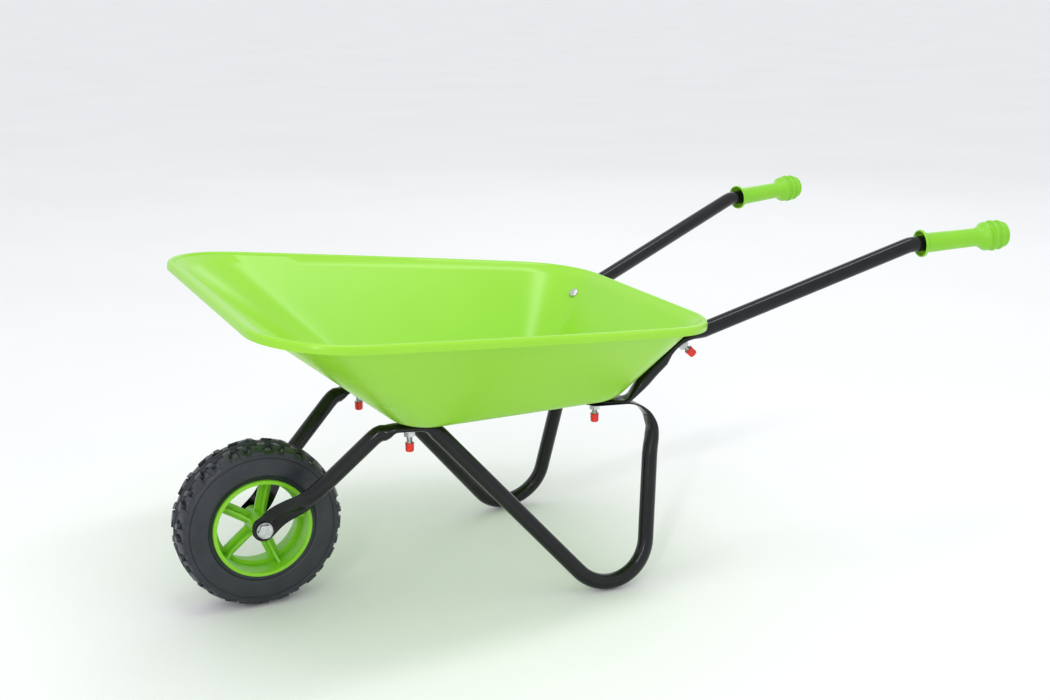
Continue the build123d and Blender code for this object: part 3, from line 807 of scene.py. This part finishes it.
# %% The sheet
tray_sheet = skin("tray_pressed", rings, caps=False)
choose(tray_sheet)
bpy.ops.object.mode_set(mode="EDIT")
bpy.ops.mesh.select_all(action="DESELECT")
mesh = bmesh.from_edit_mesh(tray_sheet.data)
mesh.verts.ensure_lookup_table()
for vertex in mesh.verts[:len(flat_edge)]:
    vertex.select_set(True)
mesh.select_flush_mode()
bmesh.update_edit_mesh(tray_sheet.data)
bpy.ops.mesh.edge_face_add()
bpy.ops.mesh.select_all(action="SELECT")
bpy.ops.mesh.normals_make_consistent(inside=False)
bpy.ops.object.mode_set(mode="OBJECT")
floor_face = max(tray_sheet.data.polygons, key=lambda face: face.area)
if floor_face.normal.z < 0:
    tray_sheet.data.flip_normals()
thick = tray_sheet.modifiers.new("sheet", "SOLIDIFY")
thick.thickness = SHEET * MM
thick.offset = -1
thick.use_even_offset = True
bpy.ops.object.modifier_apply(modifier=thick.name)
bpy.ops.object.shade_smooth_by_angle(angle=radians(40))
coat(tray_sheet, green_enamel)
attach(tray_sheet, "chassis")
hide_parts("tray")
print("tray:", len(tray_sheet.data.polygons), "faces")

# %% [markdown]
# ## The tubes
#
# Each side of the frame is two lengths of 16 mm steel tube. The maker bends them, then
# presses them half flat where a bolt goes through, and quite flat at the ends. A curve
# with a round bevel gives the bends but not the pressed places, so the tubes are skinned
# as well: a ring stands at every few millimetres along a rounded path, and is as wide and
# as thick as the tube is there.

# %% Paths
TUBE = 16.0
RING_POINTS = 28


def rounded(points, radii, straight_step=9.0, arc_step=radians(6)):
    """Points along straight runs joined by arcs, from the first point to the last."""
    path = [points[0]]
    for before, corner, after, radius in zip(points, points[1:], points[2:], radii):
        first, second = (before - corner).normalized(), (after - corner).normalized()
        half = acos(first.dot(second)) / 2
        middle = corner + (first + second).normalized() * radius / sin(half)
        reach = radius / tan(half)
        start, end = corner + first * reach, corner + second * reach
        steps = max(2, ceil((start - path[-1]).length / straight_step))
        path += [path[-1].lerp(start, (i + 1) / steps) for i in range(steps - 1)]
        sweep = pi - 2 * half
        bends = max(3, ceil(sweep / arc_step))
        spoke, last = (start - middle), (end - middle)
        for i in range(bends + 1):
            share = i / bends
            path.append(middle + (spoke * sin(sweep * (1 - share))
                                  + last * sin(sweep * share)) / sin(sweep))
    steps = max(2, ceil((points[-1] - path[-1]).length / straight_step))
    start = path[-1]
    return path + [start.lerp(points[-1], (i + 1) / steps) for i in range(steps)]


# %% Sections
SQUARENESS = 0.42


def ring(middle, way, thin_way, thick, wide):
    """A section across way: thick along thin_way and wide across it. The flatter it is,
    the squarer its ends are."""
    normal = (thin_way - way * thin_way.dot(way)).normalized()
    across = way.cross(normal)
    power = 1.0 if abs(thick - wide) < 0.01 else 1.0 - SQUARENESS * (1 - thick / wide)
    points = []
    for index in range(RING_POINTS):
        turn = 2 * pi * index / RING_POINTS
        u, v = cos(turn), sin(turn)
        u = copysign(abs(u) ** power, u)
        v = copysign(abs(v) ** power, v)
        points.append(middle + normal * (thick / 2 * u) + across * (wide / 2 * v))
    return points


def blend(marks, at):
    """Reads a smooth value off marks, a list of (place, value) in order."""
    if at <= marks[0][0]:
        return marks[0][1]
    for (a, low), (b, high) in zip(marks, marks[1:]):
        if at <= b:
            share = (at - a) / (b - a)
            share = share * share * (3 - 2 * share)
            return low + (high - low) * share
    return marks[-1][1]


def tube_skin(name, centres, thin_ways, thicks, wides, hand):
    """Skins rings along the centres, mirrored to the left hand if hand is -1."""
    rings = []
    for index, centre_point in enumerate(centres):
        before = centres[max(index - 1, 0)]
        after = centres[min(index + 1, len(centres) - 1)]
        way = (after - before).normalized()
        loop = ring(centre_point, way, thin_ways[index], thicks[index], wides[index])
        rings.append([Vector((p.x, p.y * hand, p.z)) for p in loop])
    piece = skin(name, rings)
    choose(piece)
    bpy.ops.object.mode_set(mode="EDIT")
    bpy.ops.mesh.select_all(action="SELECT")
    bpy.ops.mesh.normals_make_consistent(inside=False)
    bpy.ops.object.mode_set(mode="OBJECT")
    bpy.ops.object.shade_smooth_by_angle(angle=radians(45))
    coat(piece, black_enamel)
    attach(piece, "chassis")
    return piece


def lengths(points):
    """The distance of every point from the first, along the path."""
    total, result = 0.0, [0.0]
    for a, b in zip(points, points[1:]):
        total += (b - a).length
        result.append(total)
    return result


print("a section has", RING_POINTS, "points")

# %% [markdown]
# The leg frame starts as a flat lug on the axle. It opens into a round tube that climbs
# to the floor, is pressed half flat under it, runs down round the leg and comes up again
# to end as a flat tongue between the handle and the nut.

# %% The lug on the axle
AXLE_HEIGHT = 83
ARM_SLOPE = tan(radians(42.25))
FLAT, FLAT_WIDE = 2.2, 24.0
NOSE, NOSE_TIP = 12.0, 3.0
PLATE_Y = 25.5
CREST_Z = FLOOR_Z - 3.5
Y_WAY, Z_WAY = Vector((0, 1, 0)), Vector((0, 0, 1))


def arm(x, y):
    """A place on the arm, which climbs evenly from the axle."""
    return Vector((x, y, AXLE_HEIGHT + x * ARM_SLOPE))


def nose_rings(tip, inwards, steps=7):
    """Centres and widths of the round nose of a flat end, from the tip inwards."""
    found = []
    for step in range(1, steps + 1):
        angle = pi / 2 * step / steps
        found.append((tip + inwards * NOSE * (1 - cos(angle)), FLAT_WIDE * sin(angle)))
    return found


arm_way = (arm(10, 0) - arm(0, 0)).normalized()
centres, thin_ways, thicks, wides = [], [], [], []
for point, width in nose_rings(arm(0, PLATE_Y) - arm_way * NOSE, arm_way):
    centres.append(point)
    thicks.append(FLAT)
    wides.append(max(width, NOSE_TIP))
# Behind the axle, outwards, thickness and width, from the lug to the round tube.
LUG_OPENS = (
    (5, 25.5, 2.2, 24), (9, 25.7, 2.3, 24), (13, 27.0, 2.6, 24), (17, 30.0, 3.0, 23.9),
    (22, 35.2, 3.7, 23.6), (27, 41.0, 4.8, 23), (31, 45.6, 6.4, 22), (35, 49.2, 9.0, 20.4),
    (39, 51.6, 12.2, 18.4), (44, 53.6, 14.8, 16.8), (50, 55.3, 15.8, 16.1),
)
for x, y, thick, wide in LUG_OPENS:
    centres.append(arm(x, y))
    thicks.append(thick)
    wides.append(wide)
thin_ways = [Y_WAY] * len(centres)
print("lug:", len(centres), "rings")

# %% Path of the leg frame
LEG_TOP = Vector((391.8, 96.3, 0))
rear_bolt = Vector((334, 80, FLOOR_Z - 1.5 * FLAT))
flat_way = (Vector((LEG_TOP.x, LEG_TOP.y, rear_bolt.z)) - rear_bolt).normalized()
DROP = TUBE / 2 - FLAT / 2
leg_top = Vector((LEG_TOP.x, LEG_TOP.y, rear_bolt.z - DROP))
crest, shoulder = Vector((109, 71, CREST_Z)), Vector((154, 83.3, CREST_Z))
foot = Vector((358.5, 142, -48.5))
LEG_BENDS = (38, 30, 44, 30)
round_path = rounded(
    [arm(56, 57.0), crest, shoulder, foot, leg_top, rear_bolt - Z_WAY * DROP],
    LEG_BENDS)
along_path = lengths(round_path)
print("leg path:", round(along_path[-1]), "mm")

# %% Pressed places of the leg frame
FLAT_UNDER_FLOOR = [(109, TUBE), (121, 7.4), (124, 7.0), (144, 7.0), (147, 7.4), (160, TUBE)]
WIDE_UNDER_FLOOR = [(109, TUBE), (122, 19.6), (145, 19.6), (160, TUBE)]
TOP_PRESS = 92
bend_starts = along_path[-1] - TOP_PRESS
CREST_STARTS, CREST_ENDS, CREST_LOW, CREST_RUN = 104, 230, 100, 250
UNDER_FLOOR_GAP = 0.05
LOOP_MIDDLE = Vector((LEG_TOP.x - 30, 0, 150))
FLAT_AT_TOP = [(0, TUBE), (16, 13.2), (30, 8.4), (42, 4.4), (52, 2.5), (58, FLAT), (99, FLAT)]
WIDE_AT_TOP = [(0, TUBE), (16, 18.0), (30, 21.0), (42, 23.2), (52, 24.0), (99, 24.0)]
for index, point in enumerate(round_path):
    before = round_path[max(index - 1, 0)]
    after = round_path[min(index + 1, len(round_path) - 1)]
    way = (after - before).normalized()
    side_way = (Y_WAY - way * Y_WAY.dot(way)).normalized()
    upper = side_way.cross(way) * -1
    at_crest = point.x < CREST_ENDS and point.z > CREST_LOW
    if at_crest and along_path[index] < CREST_RUN:
        thick = blend(FLAT_UNDER_FLOOR, point.x)
        wide = blend(WIDE_UNDER_FLOOR, point.x)
        if point.x > CREST_STARTS:
            over = point.z + thick / 2 - FLOOR_Z + UNDER_FLOOR_GAP
            point = point - Z_WAY * max(over, 0)
    else:
        travelled = along_path[index] - bend_starts
        thick = blend(FLAT_AT_TOP, travelled)
        wide = blend(WIDE_AT_TOP, travelled)
        outwards = Vector((point.x - LOOP_MIDDLE.x, 0, point.z - LOOP_MIDDLE.z))
        outwards = (outwards - way * outwards.dot(way)).normalized()
        if travelled > 0:
            point = point + outwards * (TUBE / 2 - thick / 2)
    centres.append(point)
    thin_ways.append(upper)
    thicks.append(thick)
    wides.append(wide)
lug_rings = len(thin_ways) - len(round_path)
for point, width in reversed(nose_rings(rear_bolt - flat_way * NOSE, flat_way)[:-1]):
    centres.append(point)
    thin_ways.append(thin_ways[-1])
    thicks.append(FLAT)
    wides.append(max(width, NOSE_TIP))
# The lug is thin along Y and the rest is thin along its own upper side, so the lug's
# rings are turned a quarter: they are wide where the others are thick.
for index in range(lug_rings):
    way = (centres[index + 1] - centres[index]).normalized()
    side_way = (Y_WAY - way * Y_WAY.dot(way)).normalized()
    thin_ways[index] = side_way.cross(way) * -1
    thicks[index], wides[index] = wides[index], thicks[index]
for side, hand in (("left", -1), ("right", 1)):
    leg = tube_skin(f"leg_bent_{side}", centres, thin_ways, thicks, wides, hand)
    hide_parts(f"leg_frame_{side}")
print("leg frame:", len(centres), "rings,", round(lengths(centres)[-1]), "mm of tube")

# %% [markdown]
# The handle starts flat on top of that tongue, leans back against the rear wall, where it
# is pressed half flat round its bolt, and then runs up into the grip. Wherever it would
# cut the wall, its middle is pushed out until its flat side just clears it.

# %% Path of the handle
right_nut = centre("nut_wall_rear_right") / MM - ORIGIN
wall_out = (centre("cap_wall_rear_right") / MM - ORIGIN - right_nut).normalized()
PRESSED = 7.0
wall_seat = right_nut - wall_out * (NUT / 2 + WASHER + PRESSED)
knee = wall_seat + wall_out * PRESSED / 2
handle_bolt = Vector((334, 80, FLOOR_Z - FLAT / 2))
handle_foot = Vector((366, 91, FLOOR_Z - FLAT / 2))
handle_way = (handle_foot - handle_bolt).normalized()
TUBE_PAST_BEND = 98
HANDLE_BENDS, HANDLE_STEP = (9, 30, 24), 6.0
tube_end = GRIP_BEND + GRIP_WAY * TUBE_PAST_BEND
handle_path = rounded(
    [handle_bolt, handle_foot, knee, GRIP_BEND, tube_end], HANDLE_BENDS, HANDLE_STEP)
travelled = lengths(handle_path)
knee_at = min(range(len(handle_path)), key=lambda i: (handle_path[i] - knee).length)
foot_at = min(range(len(handle_path)), key=lambda i: (handle_path[i] - handle_foot).length)
F, K = travelled[foot_at], travelled[knee_at]
print("handle path:", round(travelled[-1]), "mm, foot at", round(F), "and knee at", round(K))

# %% Sections of the handle
WALL_GAP = 0.15
HANDLE_THICK = [(F - 14, FLAT), (F - 5, 2.7), (F + 5, 5.2), (F + 14, 9.4), (F + 26, 13.6),
                (K - 26, 13.0), (K - 11, 7.0), (K + 10, 7.0), (K + 27, TUBE)]
HANDLE_WIDE = [(F - 14, FLAT_WIDE), (F + 4, 23.0), (F + 14, 20.6), (F + 28, 17.4),
               (K - 26, 17.4), (K - 11, 19.6), (K + 10, 19.6), (K + 27, TUBE)]
centres, thin_ways, thicks, wides = [], [], [], []
for point, width in nose_rings(handle_bolt - handle_way * NOSE, handle_way)[:-1]:
    centres.append(point)
    thin_ways.append(Z_WAY * -1)
    thicks.append(FLAT)
    wides.append(max(width, NOSE_TIP))
for index, point in enumerate(handle_path):
    at = travelled[index]
    thick, wide = blend(HANDLE_THICK, at), blend(HANDLE_WIDE, at)
    lean = blend([(F - 4, 0.0), (F + 14, 1.0)], at)
    if lean > 0:
        gap = (point - wall_seat).dot(wall_out)
        wanted = thick / 2 + WALL_GAP
        pull = blend([(F + 6, 0.0), (F + 20, 1.0), (K + 14, 1.0), (K + 40, 0.0)], at)
        if gap < wanted:
            point = point + wall_out * (wanted - gap) * pull
    centres.append(point)
    thin_ways.append((Z_WAY * -1).lerp(wall_out, lean).normalized())
    thicks.append(thick)
    wides.append(wide)
for side, hand in (("left", -1), ("right", 1)):
    handle = tube_skin(f"handle_bent_{side}", centres, thin_ways, thicks, wides, hand)
    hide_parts(f"handle_tube_{side}")
print("handle:", len(centres), "rings,", round(lengths(centres)[-1]), "mm of tube")
